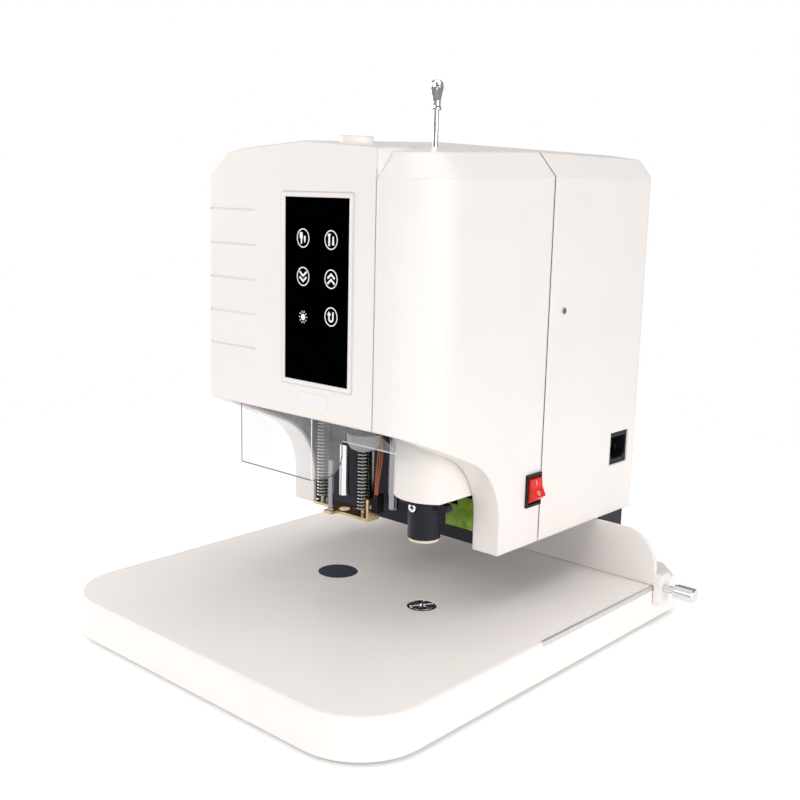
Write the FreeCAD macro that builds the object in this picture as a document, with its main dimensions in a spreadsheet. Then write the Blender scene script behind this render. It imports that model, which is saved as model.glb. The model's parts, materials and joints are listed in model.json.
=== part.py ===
import FreeCAD, Part
import math
import os

import Sketcher
from FreeCAD import Placement, Rotation, Vector

# Desk machine that drills a stack of documents and closes a plastic tube rivet through it.
# Lengths are millimetres and angles are degrees.
# X runs to the right of the person using it, Y to the back and Z up.
# The sizes are measured from the desk, the middle of the base's width and its front edge.
# Each finished piece then moves to the origin, which is below the middle of the whole machine.

SIZES = {
    # General
    "overrun": 5.0,
    "running_gap": 0.05,
    "easy_gap": 0.4,
    # Base and table
    "foot_height": 3.0,
    "foot_radius": 9.0,
    "foot_inset": 34.0,
    "base_width": 300.0,
    "base_depth": 358.0,
    "base_height": 26.5,
    "base_wall": 3.0,
    "base_front_radius": 45.0,
    "base_rear_clip": 19.0,
    "base_edge_round": 2.0,
    "floor_plate_thickness": 1.5,
    "anvil_width": 190.0,
    "anvil_front": 135.0,
    "anvil_back": 346.0,
    "anvil_thickness": 10.0,
    "rail_depth": 2.0,
    "rail_height": 3.4,
    "rail_front": 165.0,
    "rail_back": 309.0,
    # Stations
    "drill_x": -24.0,
    "drill_y": 160.0,
    "rivet_x": 55.3,
    "rivet_y": 157.0,
    "pad_x": -33.0,
    "pad_y": 164.0,
    "pad_radius": 14.5,
    "pad_gap": 0.3,
    "pad_thickness": 9.8,
    "pad_recess": 0.2,
    "cup_wall": 3.0,
    "die_ring_radius": 10.4,
    "die_ring_flange": 14.0,
    "die_ring_recess": 1.0,
    "die_head_radius": 8.6,
    "die_head_seat": 2.5,
    "die_head_proud": 0.3,
    "die_stem_radius": 5.0,
    "die_stem_depth": 9.0,
    "die_groove_width": 1.4,
    "die_groove_depth": 0.9,
    "die_recess_radius": 2.2,
    # Paper stop
    "fence_front": 305.5,
    "fence_thickness": 3.5,
    "fence_table_gap": 0.3,
    "fence_top": 68.3,
    "fence_corner_radius": 27.0,
    "arm_thickness": 5.0,
    "arm_depth": 14.5,
    "arm_bottom": 15.0,
    "arm_top": 38.0,
    "arm_round": 2.0,
    "knob_height": 27.5,
    "knob_set_back": 7.5,
    "knob_shaft_radius": 2.65,
    "knob_shaft_length": 13.6,
    "knob_radius": 5.4,
    "knob_length": 15.6,
    "knob_chamfer": 1.0,
    "knob_neck_radius": 4.7,
    "knob_neck_length": 2.0,
    # Head covers
    "head_half_width": 99.0,
    "head_front": 97.0,
    "head_seam": 228.5,
    "seam_gap": 1.0,
    "head_back": 359.0,
    "head_bottom": 69.5,
    "cover_wall": 2.5,
    "motor_eaves_gap": 10.0,
    "hip_rise": 15.3,
    "hip_inset": 13.5,
    "left_hip_inset": 21.0,
    "shoulder_rise": 3.3,
    "shoulder_inset": 39.0,
    "crown_rise": 4.3,
    "roof_lean_angle": 2.3,
    "crease_width": 0.8,
    "crease_depth": 0.6,
    "head_corner_radius": 37.0,
    "head_left_radius": 4.0,
    "head_rear_radius": 6.0,
    "nose_height": 161.5,
    "arch_fall": 0.426,
    "arch_radius": 50.0,
    "leg_back": 181.6,
    "leg_width": 21.0,
    "groove_left": -95.0,
    "groove_right": -47.7,
    "groove_below_eaves": 27.0,
    "groove_pitch": 23.1,
    "groove_height": 1.0,
    "groove_depth": 0.6,
    # Control panel and plates
    "panel_x": 11.0,
    "panel_below_eaves": 17.0,
    "panel_width": 58.0,
    "panel_height": 117.5,
    "panel_thickness": 1.5,
    "panel_proud": 0.2,
    "frame_width": 3.2,
    "frame_proud": 0.5,
    "label_x": 8.8,
    "label_above_nose": 6.5,
    "label_width": 26.0,
    "label_height": 10.0,
    "label_thickness": 0.4,
    "cap_x": 12.0,
    "cap_y": 130.0,
    "cap_radius": 11.0,
    "cap_height": 4.6,
    "cap_sink": 5.9,
    "cap_plug_radius": 8.0,
    # Steel frame
    "side_thickness": 3.0,
    "side_back": 348.0,
    "side_front": 196.0,
    "side_below_eaves": 20.0,
    "column_front": 316.0,
    "deck_bottom": 72.2,
    "deck_thickness": 9.3,
    "wall_thickness": 3.0,
    "motor_deck_gap": 14.0,
    "top_deck_thickness": 6.0,
    "top_deck_front": 132.0,
    # Lifts
    "post_y": 209.0,
    "post_radius": 5.0,
    "post_offset": 17.0,
    "lead_screw_radius": 4.0,
    "lead_screw_seat": 5.0,
    "motor_width": 42.0,
    "motor_height": 42.0,
    "motor_round": 4.0,
    "motor_bore_depth": 20.0,
    "drill_travel": 61.8,
    "rivet_travel": 46.0,
    "block_bottom": 145.0,
    "block_height": 30.0,
    "block_half_width": 26.0,
    "block_half_depth": 13.0,
    "web_half_width": 6.0,
    "web_height": 22.0,
    "slot_half_width": 7.5,
    "slot_margin": 1.0,
    # Drill unit
    "head_drop": 14.0,
    "drill_head_height": 42.0,
    "drill_head_front": 150.0,
    "drill_head_back": 176.0,
    "drill_head_half_width": 10.5,
    "bridge_left": 31.5,
    "bridge_right": 25.0,
    "bridge_thickness": 8.0,
    "spindle_radius": 5.2,
    "spindle_seat": 0.5,
    "motor_shaft_radius": 4.0,
    "motor_shaft_end_gap": 12.0,
    "drill_motor_radius": 17.0,
    "drill_motor_length": 67.0,
    "bit_radius": 3.65,
    "bit_bore": 2.6,
    "bit_tip": 91.3,
    "bit_seat": 19.0,
    # Presser foot
    "presser_bottom": 78.5,
    "presser_thickness": 2.0,
    "presser_left": 30.3,
    "presser_right": 30.3,
    "presser_front": 153.5,
    "presser_back": 165.0,
    "presser_step": 3.0,
    "presser_left_front": 158.5,
    "presser_left_back": 171.0,
    "presser_hole": 4.6,
    "presser_tab_front": 147.5,
    "presser_tab_half_width": 4.0,
    "presser_flange_height": 14.0,
    "rod_left_x": -50.0,
    "rod_left_y": 164.2,
    "rod_right_x": -4.5,
    "rod_right_y": 160.0,
    "rod_radius": 1.6,
    "rod_top": 184.0,
    "spring_radius": 4.1,
    "spring_wire": 1.2,
    "pin_x": -28.3,
    "pin_y": 151.0,
    "pin_radius": 1.9,
    "pin_top": 117.9,
    "pin_collar_radius": 2.6,
    "pin_collar_height": 2.0,
    "pin_notch_gap": 0.5,
    "sensor_width": 3.5,
    "sensor_front": 158.8,
    "sensor_back": 166.0,
    "sensor_bottom": 84.0,
    "sensor_height": 13.5,
    "lead_radius": 0.55,
    "lead_spread": 1.2,
    "lead_top": 152.0,
    "lead_bend": 3.2,
    "lead_fan": 0.9,
    "lead_set_back": 1.0,
    # Rivet unit
    "boss_radius": 17.0,
    "press_head_radius": 11.2,
    "press_head_bottom": 79.3,
    "press_bore": 2.3,
    "tip_radius": 10.3,
    "tip_bottom": 77.2,
    "clamp_radius": 17.0,
    "clamp_bottom": 104.9,
    "clamp_height": 5.1,
    "lug_reach": 21.6,
    "lug_width": 6.0,
    "lug_height": 5.3,
    "lug_lap": 0.4,
    "lug_round": 2.4,
    "clamp_screw_radius": 3.1,
    "clamp_screw_head": 2.4,
    "clamp_screw_depth": 5.0,
    "clamp_screw_height": 101.5,
    "clamp_screw_shift": -0.7,
    "shroud_x": 57.0,
    "shroud_y": 164.5,
    "shroud_radius": 27.5,
    "shroud_wall": 1.6,
    "shroud_bottom": 108.0,
    "shroud_top": 175.0,
    "shroud_leg_gap": 0.5,
    # Middle post and lamp
    "middle_post_x": 18.5,
    "middle_post_y": 166.0,
    "middle_post_radius": 3.9,
    "middle_post_bottom": 88.0,
    "middle_post_round": 1.2,
    "lamp_x": 11.0,
    "lamp_y": 143.0,
    "lamp_radius": 11.5,
    "lamp_bottom": 132.4,
    "lamp_height": 13.0,
    "lamp_collar": 4.0,
    "bracket_width": 10.0,
    "bracket_thickness": 4.0,
    # Clear guard
    "guard_left": -66.0,
    "guard_right": 6.0,
    "guard_bottom": 118.5,
    "guard_thickness": 2.0,
    "guard_back": 127.0,
    "guard_side_top": 142.0,
    "guard_corner_radius": 14.0,
    "guard_lap": 12.0,
    "screen_right": 58.0,
    "screen_back_height": 141.0,
    # Clearing rod
    "clear_rod_radius": 1.75,
    "clear_rod_bottom": 122.0,
    "sleeve_radius": 4.0,
    "sleeve_height": 29.0,
    "rod_collar_radius": 3.0,
    "rod_collar_height": 3.0,
    "rod_hole_radius": 2.6,
    "pear_above_crown": 15.6,
    "pear_height": 18.4,
    "pear_top_radius": 4.4,
    "pear_waist_radius": 2.7,
    "pear_foot_radius": 3.2,
    # Power switch
    "switch_y": 219.4,
    "switch_z": 108.6,
    "switch_width": 17.0,
    "switch_height": 23.0,
    "switch_bezel": 1.8,
    "switch_depth": 16.0,
    "switch_border": 1.8,
    "switch_side_border": 1.4,
    "switch_lip": 0.6,
    "rocker_gap": 0.4,
    "rocker_tilt": 17.0,
    "rocker_pivot_depth": 2.2,
    "rocker_pin_radius": 1.5,
    "rocker_pin_seat": 0.6,
    # Power inlet
    "inlet_y": 332.4,
    "inlet_z": 120.3,
    "inlet_size": 25.0,
    "inlet_depth": 22.0,
    "inlet_border": 1.6,
    "inlet_set_in": 1.2,
    "inlet_pin_width": 2.0,
    "inlet_pin_height": 4.0,
    "inlet_pin_length": 13.0,
    "inlet_pin_spread": 7.0,
    # Cover screws
    "cover_screw_y": 246.0,
    "cover_screw_z": 230.2,
    "cover_screw_radius": 2.4,
    "cover_screw_head": 1.2,
    "cover_screw_shank": 1.5,
    # Electrics
    "board_left": 53.0,
    "board_bottom": 82.0,
    "board_width": 24.8,
    "board_height": 22.0,
    "board_thickness": 1.6,
    "board_low_width": 10.3,
    "board_low_height": 15.5,
    "supply_half_width": 60.0,
    "supply_front": 250.0,
    "supply_back": 335.0,
    "supply_height": 50.0,
}

SPRING_TURNS = 35
DIE_GROOVES = 6
COVER_GROOVES = 5

# Shares of a piece's own size
SPRING_START_SHARE = 0.2
SPRING_END_SHARE = 2.5
LEAD_SWAY_SHARES = ((0.0, 0.0), (0.15, 0.15), (0.3, 0.5), (0.53, 1.0), (0.75, 1.0), (1.0, 0.9))
LEAD_FAN_SHARES = (0.0, 0.0, 0.6, 1.0, 0.2, 0.0)
LAMP_SHARES = ((0.45, 0.05), (0.78, 0.2), (0.95, 0.42), (1.0, 0.65))
PEAR_SHARES = ((0.55, 0.82), (0.74, 1.0), (0.89, 0.9), (0.97, 0.6))
PEAR_FOOT_SHARES = (0.06, 0.14, 0.3)
ROCKER_HALF_SHARES = ((-0.22, -0.8), (0.15, -0.988), (0.81, -0.69), (0.69, 0.0))
INLET_HEIGHT_SHARE = 0.78
INLET_CORNER_SHARE = 0.35

SAME_PLACE = 1e-6


class Size:
    """A length that knows its number and the sheet formula that gives it."""

    def __init__(self, number, formula):
        self.number = number
        self.formula = formula

    def join(self, other, sign, number):
        return Size(number, "(%s %s %s)" % (self.formula, sign, as_size(other).formula))

    def __add__(self, other):
        return self.join(other, "+", self.number + as_size(other).number)

    def __radd__(self, other):
        return as_size(other) + self

    def __sub__(self, other):
        return self.join(other, "-", self.number - as_size(other).number)

    def __mul__(self, other):
        return self.join(other, "*", self.number * as_size(other).number)

    def __rmul__(self, other):
        return as_size(other) * self

    def __truediv__(self, other):
        return self.join(other, "/", self.number / as_size(other).number)

    def __neg__(self):
        return Size(-self.number, "(-1 * %s)" % self.formula)

    def __float__(self):
        return float(self.number)


def as_size(value):
    return value if isinstance(value, Size) else Size(float(value), repr(float(value)))


class Sheet:
    """The driving sizes, read back from the spreadsheet."""

    def __init__(self, document, table):
        sheet = document.addObject("Spreadsheet::Sheet", "Sizes")
        for row, (alias, value) in enumerate(table.items(), start=1):
            sheet.set("A%d" % row, alias)
            sheet.set("B%d" % row, str(value))
            sheet.setAlias("B%d" % row, alias)
        document.recompute()
        for alias in table:
            setattr(self, alias, Size(float(getattr(sheet, alias)), "Sizes." + alias))


doc = FreeCAD.newDocument("riveting_machine")
S = Sheet(doc, SIZES)
NODES = {}


# Helpers

def bind(obj, prop, size):
    """Sets a property through the sheet, so that the object follows the cell."""
    obj.setExpression(prop, as_size(size).formula)


def place(obj, x, y, z):
    for axis, size in (("x", x), ("y", y), ("z", z)):
        bind(obj, "Placement.Base." + axis, size)


def keep(label, obj):
    """Names a finished piece and moves it from the base's own axes to the origin."""
    placed = dict(obj.ExpressionEngine)
    for axis, shift in (("x", ORIGIN_X), ("y", ORIGIN_Y)):
        prop = "Placement.Base." + axis
        here = placed.get("." + prop, placed.get(prop, repr(getattr(obj.Placement.Base, axis))))
        obj.setExpression(prop, "%s - %s" % (here, shift.formula))
    obj.Label = label
    NODES[label] = obj
    return obj


def box(x_range, y_range, z_range):
    """Block between two corners, each range a pair of sizes."""
    obj = doc.addObject("Part::Box", "block")
    for prop, (low, high) in (("Length", x_range), ("Width", y_range), ("Height", z_range)):
        bind(obj, prop, as_size(high) - low)
    place(obj, x_range[0], y_range[0], z_range[0])
    return obj


TURNS = {"z": Rotation(), "x": Rotation(Vector(0, 1, 0), 90), "y": Rotation(Vector(1, 0, 0), -90)}


def rod(radius, length, x, y, z, axis="z"):
    """Round bar that starts at a point and runs along an axis."""
    obj = doc.addObject("Part::Cylinder", "round")
    bind(obj, "Radius", radius)
    bind(obj, "Height", length)
    obj.Placement = Placement(Vector(), TURNS[axis])
    place(obj, x, y, z)
    return obj


def join(*pieces):
    obj = doc.addObject("Part::MultiFuse", "joined")
    obj.Shapes = list(pieces)
    obj.Refine = True
    return obj


def cut(base, *tools):
    obj = doc.addObject("Part::Cut", "cut")
    obj.Base = base
    obj.Tool = tools[0] if len(tools) == 1 else join(*tools)
    obj.Refine = True
    return obj


def common(first, second):
    obj = doc.addObject("Part::Common", "shared")
    obj.Base = first
    obj.Tool = second
    return obj


def origin_plane(body, role):
    return next(item for item in body.Origin.OriginFeatures if item.Role == role)


def hold(sketch, index, end, axis, size, name):
    """Holds one end of a line to the origin, along one axis of the sketch."""
    if float(size) == 0:
        line = {"X": -2, "Y": -1}[axis]
        sketch.addConstraint(Sketcher.Constraint("PointOnObject", index, end, line))
        return
    number = sketch.addConstraint(
        Sketcher.Constraint("Distance" + axis, -1, 1, index, end, float(size)))
    sketch.renameConstraint(number, name)
    bind(sketch, "Constraints." + name, size)


def outline(body, role, corners, start):
    """Closed outline of straight lines, every corner bound to the sheet."""
    sketch = body.newObject("Sketcher::SketchObject", "outline")
    sketch.AttachmentSupport = [(origin_plane(body, role), "")]
    sketch.MapMode = "FlatFace"
    bind(sketch, "AttachmentOffset.Base.z", start)
    points = [Vector(float(u), float(v), 0) for u, v in corners]
    count = len(points)
    for index in range(count):
        sketch.addGeometry(Part.LineSegment(points[index], points[(index + 1) % count]))
    for index in range(count):
        sketch.addConstraint(
            Sketcher.Constraint("Coincident", index, 2, (index + 1) % count, 1))
    for index, (u, v) in enumerate(corners):
        hold(sketch, index, 1, "X", u, "across%d" % index)
        hold(sketch, index, 1, "Y", v, "along%d" % index)
    return sketch


# Each plane's sketch axes as machine axes, and whether its pads grow backwards
PLANES = {
    "z": ("XY_Plane", "x", "y", False),
    "y": ("XZ_Plane", "x", "z", True),
    "x": ("YZ_Plane", "y", "z", False),
}


def profile(axis, corners, low, high, rounds=()):
    """Body padded along an axis from low to high; rounds pairs corner numbers with a radius."""
    role, first, second, backwards = PLANES[axis]
    body = doc.addObject("PartDesign::Body", "profile")
    start = -as_size(low) if backwards else as_size(low)
    sketch = outline(body, role, corners, start)
    pad = body.newObject("PartDesign::Pad", "pad")
    pad.Profile = sketch
    bind(pad, "Length", as_size(high) - low)
    pad.Reversed = backwards
    sketch.Visibility = False
    for numbers, radius in rounds:
        doc.recompute()
        wanted = [(float(corners[number][0]), float(corners[number][1])) for number in numbers]
        before = body.Tip
        edges = edges_along(before.Shape, first, second, wanted)
        fillet = body.newObject("PartDesign::Fillet", "rounding")
        fillet.Base = (before, edges)
        bind(fillet, "Radius", radius)
        body.Tip = fillet
    return body


def edges_along(shape, first, second, places):
    """Names of the edges that run square to two axes, through the given places on them."""
    names = []
    for number, edge in enumerate(shape.Edges, start=1):
        ends = [vertex.Point for vertex in edge.Vertexes]
        if len(ends) != 2:
            continue
        for u, v in places:
            if all(abs(getattr(end, first) - u) < SAME_PLACE and abs(getattr(end, second) - v) < SAME_PLACE
                   for end in ends):
                names.append("Edge%d" % number)
    return names


def turned(outline_points, x, y, z, axis="z"):
    """Body turned about its own axis from an outline of radius and height pairs."""
    body = doc.addObject("PartDesign::Body", "turned")
    sketch = outline(body, "XZ_Plane", outline_points, as_size(0))
    feature = body.newObject("PartDesign::Revolution", "turning")
    feature.Profile = sketch
    feature.ReferenceAxis = (sketch, ["V_Axis"])
    feature.Angle = 360
    sketch.Visibility = False
    body.Placement = Placement(Vector(), TURNS[axis])
    place(body, x, y, z)
    return body


def rounded(obj, radius, chosen):
    """Rounds the edges that a test picks."""
    doc.recompute()
    fillet = doc.addObject("Part::Fillet", "rounded")
    fillet.Base = obj
    fillet.Edges = [(number, float(radius), float(radius))
                    for number, edge in enumerate(obj.Shape.Edges, start=1) if chosen(edge)]
    return fillet


def level(height):
    """Test for edges that lie at one height."""
    return lambda edge: all(abs(end.Point.z - float(height)) < SAME_PLACE for end in edge.Vertexes)


# Places that several pieces share

ZERO = as_size(0)
ORIGIN_X = (S.knob_shaft_length + S.knob_length) / 2
ORIGIN_Y = S.head_back / 2
OVER = S.overrun
BASE_TOP = S.foot_height + S.base_height
BASE_CEILING = BASE_TOP - S.base_wall
HALF_BASE = S.base_width / 2
FLOOR_TOP = S.foot_height + S.floor_plate_thickness
ANVIL_TOP = FLOOR_TOP + S.anvil_thickness
SIDE_OUTER = S.head_half_width - S.cover_wall
SIDE_INNER = SIDE_OUTER - S.side_thickness
DECK_TOP = S.deck_bottom + S.deck_thickness
WALL_FRONT = S.leg_back + S.cover_wall
ARM_INNER = HALF_BASE + S.easy_gap
PRESSER_TOP = S.presser_bottom + S.presser_thickness
HEAD_BOTTOM = S.block_bottom - S.head_drop
BLOCK_TOP = S.block_bottom + S.block_height
WEB_TOP = S.block_bottom + S.web_height
BLOCK_FRONT = S.post_y - S.block_half_depth
BLOCK_BACK = S.post_y + S.block_half_depth
DRILL_HEAD_TOP = HEAD_BOTTOM + S.drill_head_height
BRIDGE_TOP = DRILL_HEAD_TOP + S.bridge_thickness
SHAFT_LENGTH = S.drill_motor_length - S.motor_shaft_end_gap
TOP_DECK_BOTTOM = BRIDGE_TOP + S.drill_motor_length + S.motor_deck_gap
TOP_DECK_TOP = TOP_DECK_BOTTOM + S.top_deck_thickness
EAVES = TOP_DECK_TOP + S.motor_height + S.motor_eaves_gap
HIP = EAVES + S.hip_rise
SHOULDER = HIP + S.shoulder_rise
CROWN = SHOULDER + S.crown_rise
PANEL_TOP = EAVES - S.panel_below_eaves
PANEL_BOTTOM = PANEL_TOP - S.panel_height
STATIONS = {"drill": S.drill_x, "rivet": S.rivet_x}
PRESSER_RODS = {"left": (S.rod_left_x, S.rod_left_y), "right": (S.rod_right_x, S.rod_right_y)}


# Base and table

def base_outline(inset):
    """Plan of the base, drawn in by an inset, with both rear corners clipped."""
    left = -HALF_BASE + inset
    right = HALF_BASE - inset
    back = S.base_depth - inset
    clip = S.base_rear_clip
    return [(left, inset), (right, inset), (right, back - clip), (right - clip, back),
            (left + clip, back), (left, back - clip)]


def foot_places():
    for x in (-HALF_BASE + S.foot_inset, HALF_BASE - S.foot_inset):
        for y in (S.foot_inset, S.base_depth - S.foot_inset):
            yield x, y


def make_base():
    outer = profile("z", base_outline(ZERO), S.foot_height, BASE_TOP,
                    [((0, 1), S.base_front_radius)])
    outer = rounded(outer, S.base_edge_round, level(BASE_TOP))
    hollow = profile("z", base_outline(S.base_wall), S.foot_height - OVER, BASE_CEILING,
                     [((0, 1), S.base_front_radius - S.base_wall)])
    pad_hole = rod(S.pad_radius + S.pad_gap, S.base_wall + 2 * OVER, S.pad_x, S.pad_y, BASE_CEILING - OVER)
    die_hole = rod(S.die_ring_radius + S.running_gap, S.base_wall + 2 * OVER,
                   S.rivet_x, S.rivet_y, BASE_CEILING - OVER)
    rail_seat = box((HALF_BASE - S.rail_depth, HALF_BASE + OVER), (S.rail_front, S.rail_back),
                    (BASE_TOP - S.rail_height, BASE_TOP + OVER))
    shell = cut(outer, hollow, pad_hole, die_hole, rail_seat)
    bosses = [rod(S.foot_radius, BASE_CEILING - FLOOR_TOP, x, y, FLOOR_TOP) for x, y in foot_places()]
    keep("base_shell", join(shell, *bosses))

    inset = S.base_wall + S.easy_gap
    keep("base_plate", profile("z", base_outline(inset), S.foot_height, FLOOR_TOP,
                               [((0, 1), S.base_front_radius - inset)]))
    feet = [rod(S.foot_radius, S.foot_height, x, y, ZERO) for x, y in foot_places()]
    keep("rubber_feet", join(*feet))

    keep("table_rail", box((HALF_BASE - S.rail_depth, HALF_BASE), (S.rail_front, S.rail_back),
                           (BASE_TOP - S.rail_height, BASE_TOP)))

    half = S.anvil_width / 2
    plate = box((-half, half), (S.anvil_front, S.anvil_back), (FLOOR_TOP, ANVIL_TOP))
    back = box((-half, half), (S.column_front, S.anvil_back), (FLOOR_TOP, BASE_CEILING))
    keep("anvil_plate", join(plate, back))


def make_pad_and_die():
    pad_top = BASE_TOP - S.pad_recess
    pad_bottom = pad_top - S.pad_thickness
    cup_bore = S.pad_radius + S.pad_gap
    cup = rod(cup_bore + S.cup_wall, BASE_CEILING - ANVIL_TOP, S.pad_x, S.pad_y, ANVIL_TOP)
    keep("pad_cup", cut(cup, rod(cup_bore, BASE_CEILING - pad_bottom + OVER, S.pad_x, S.pad_y, pad_bottom)))
    keep("drill_pad", rod(S.pad_radius, S.pad_thickness, S.pad_x, S.pad_y, pad_bottom))

    ring_top = BASE_TOP - S.die_ring_recess
    ring = turned([(ZERO, ZERO), (S.die_ring_flange, ZERO), (S.die_ring_flange, BASE_CEILING - ANVIL_TOP),
                   (S.die_ring_radius, BASE_CEILING - ANVIL_TOP), (S.die_ring_radius, ring_top - ANVIL_TOP),
                   (ZERO, ring_top - ANVIL_TOP)], S.rivet_x, S.rivet_y, ANVIL_TOP)
    head_bottom = ring_top - S.die_head_seat
    stem_bottom = head_bottom - S.die_stem_depth
    seat = rod(S.die_head_radius + S.running_gap, S.die_head_seat + OVER, S.rivet_x, S.rivet_y, head_bottom)
    bore = rod(S.die_stem_radius + S.running_gap, S.die_stem_depth + OVER, S.rivet_x, S.rivet_y, stem_bottom)
    keep("die_holder", cut(ring, seat, bore))

    head_top = BASE_TOP + S.die_head_proud
    head = rod(S.die_head_radius, head_top - head_bottom, S.rivet_x, S.rivet_y, head_bottom)
    stem = rod(S.die_stem_radius, S.die_stem_depth, S.rivet_x, S.rivet_y, stem_bottom)
    recess = rod(S.die_recess_radius, S.die_groove_depth + OVER, S.rivet_x, S.rivet_y,
                 head_top - S.die_groove_depth)
    tools = [recess]
    for number in range(DIE_GROOVES):
        groove = doc.addObject("Part::Box", "groove")
        bind(groove, "Length", S.die_head_radius + OVER)
        bind(groove, "Width", S.die_groove_width)
        bind(groove, "Height", S.die_groove_depth + OVER)
        turn = Rotation(Vector(0, 0, 1), 360.0 * number / DIE_GROOVES)
        side = turn.multVec(Vector(0, -float(S.die_groove_width) / 2, 0))
        groove.Placement = Placement(Vector(float(S.rivet_x) + side.x, float(S.rivet_y) + side.y,
                                            float(head_top - S.die_groove_depth)), turn)
        tools.append(groove)
    keep("rivet_die", cut(join(head, stem), *tools))


# Paper stop that slides on the table

def make_fence():
    bottom = BASE_TOP + S.fence_table_gap
    corners = [(-ARM_INNER, bottom), (ARM_INNER, bottom), (ARM_INNER, S.fence_top), (-ARM_INNER, S.fence_top)]
    keep("fence_plate", profile("y", corners, S.fence_front, S.fence_front + S.fence_thickness,
                                [((2, 3), S.fence_corner_radius)]))
    arm_outer = ARM_INNER + S.arm_thickness
    arm_back = S.fence_front + S.arm_depth
    arm = profile("x", [(S.fence_front, S.arm_bottom), (arm_back, S.arm_bottom),
                        (arm_back, S.arm_top), (S.fence_front, S.arm_top)],
                  ARM_INNER, arm_outer, [((0, 1, 2, 3), S.arm_round)])
    knob_y = S.fence_front + S.knob_set_back
    bore = rod(S.knob_shaft_radius + S.running_gap, S.arm_thickness + 2 * OVER,
               ARM_INNER - OVER, knob_y, S.knob_height, "x")
    keep("fence_arm", cut(arm, bore))
    neck_start = S.knob_shaft_length
    body_start = neck_start + S.knob_neck_length
    end = neck_start + S.knob_length
    keep("fence_knob", turned([
        (ZERO, ZERO), (S.knob_shaft_radius, ZERO), (S.knob_shaft_radius, neck_start),
        (S.knob_neck_radius, neck_start), (S.knob_neck_radius, body_start), (S.knob_radius, body_start),
        (S.knob_radius, end - S.knob_chamfer), (S.knob_radius - S.knob_chamfer, end), (ZERO, end),
    ], ARM_INNER, knob_y, S.knob_height, "x"))


# Steel frame

def make_frame():
    side_top = EAVES - S.side_below_eaves
    corners = [(S.column_front, BASE_TOP), (S.side_back, BASE_TOP), (S.side_back, side_top),
               (S.side_front, side_top), (S.side_front, S.deck_bottom), (S.column_front, S.deck_bottom)]
    keep("side_plate_left", cut(profile("x", corners, -SIDE_OUTER, -SIDE_INNER), screw_hole(-SIDE_OUTER)))
    half_switch = S.switch_height / 2 + OVER
    half_inlet = S.inlet_size / 2 + S.inlet_border
    reach = (SIDE_INNER - OVER, SIDE_OUTER + OVER)
    switch_gap = box(reach, (S.switch_y - half_switch, S.switch_y + half_switch),
                     (S.switch_z - half_switch, S.switch_z + half_switch))
    inlet_gap = box(reach, (S.inlet_y - half_inlet, S.inlet_y + half_inlet),
                    (S.inlet_z - half_inlet, S.inlet_z + half_inlet))
    keep("side_plate_right", cut(profile("x", corners, SIDE_INNER, SIDE_OUTER),
                                 switch_gap, inlet_gap, screw_hole(SIDE_INNER)))

    deck = box((-SIDE_INNER, SIDE_INNER), (WALL_FRONT, S.side_back), (S.deck_bottom, DECK_TOP))
    seats = [rod(S.lead_screw_radius + S.running_gap, S.lead_screw_seat + OVER, x, S.post_y,
                 DECK_TOP - S.lead_screw_seat) for x in STATIONS.values()]
    keep("lower_deck", cut(deck, *seats))

    wall = box((-SIDE_INNER, SIDE_INNER), (WALL_FRONT, WALL_FRONT + S.wall_thickness),
               (DECK_TOP, TOP_DECK_BOTTOM))
    slots = []
    for station, travel in (("drill", S.drill_travel), ("rivet", S.rivet_travel)):
        x = STATIONS[station]
        slots.append(box((x - S.slot_half_width, x + S.slot_half_width),
                         (WALL_FRONT - OVER, WALL_FRONT + S.wall_thickness + OVER),
                         (S.block_bottom - travel - S.slot_margin, WEB_TOP + S.slot_margin)))
    keep("front_wall", cut(wall, *slots))

    top = box((-SIDE_INNER, SIDE_INNER), (S.top_deck_front, S.side_back), (TOP_DECK_BOTTOM, TOP_DECK_TOP))
    holes = [rod(S.lead_screw_radius + S.easy_gap, S.top_deck_thickness + 2 * OVER, x, S.post_y,
                 TOP_DECK_BOTTOM - OVER) for x in STATIONS.values()]
    holes.append(rod(S.clear_rod_radius + S.easy_gap, S.top_deck_thickness + 2 * OVER, S.rivet_x, S.rivet_y,
                     TOP_DECK_BOTTOM - OVER))
    keep("upper_deck", cut(top, *holes))

    for station, x in STATIONS.items():
        height = TOP_DECK_BOTTOM - DECK_TOP
        posts = [rod(S.post_radius, height, x + side * S.post_offset, S.post_y, DECK_TOP) for side in (-1, 1)]
        keep(station + "_posts", join(*posts))


def make_lift_drives():
    half = S.motor_width / 2
    for station, x in STATIONS.items():
        y = S.post_y
        motor = profile("z", [(x - half, y - half), (x + half, y - half), (x + half, y + half),
                              (x - half, y + half)], TOP_DECK_TOP, TOP_DECK_TOP + S.motor_height,
                        [((0, 1, 2, 3), S.motor_round)])
        bore = rod(S.lead_screw_radius + S.running_gap, S.motor_bore_depth + OVER, x, y, TOP_DECK_TOP - OVER)
        keep(station + "_lift_motor", cut(motor, bore))
        low = DECK_TOP - S.lead_screw_seat + S.running_gap
        high = TOP_DECK_TOP + S.motor_bore_depth - S.running_gap
        keep(station + "_lead_screw", rod(S.lead_screw_radius, high - low, x, y, low))


def carriage_rear(x, y):
    """Block that slides on the posts, with the web that reaches forward through the wall."""
    block = box((x - S.block_half_width, x + S.block_half_width), (BLOCK_FRONT, BLOCK_BACK),
                (S.block_bottom, BLOCK_TOP))
    web = box((x - S.web_half_width, x + S.web_half_width), (y, S.post_y), (S.block_bottom, WEB_TOP))
    return block, web


def carriage_bores(x):
    bores = [rod(S.post_radius + S.running_gap, S.block_height + 2 * OVER, x + side * S.post_offset,
                 S.post_y, S.block_bottom - OVER) for side in (-1, 1)]
    bores.append(rod(S.lead_screw_radius + S.running_gap, S.block_height + 2 * OVER, x, S.post_y,
                     S.block_bottom - OVER))
    return bores


# Drill unit

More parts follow.
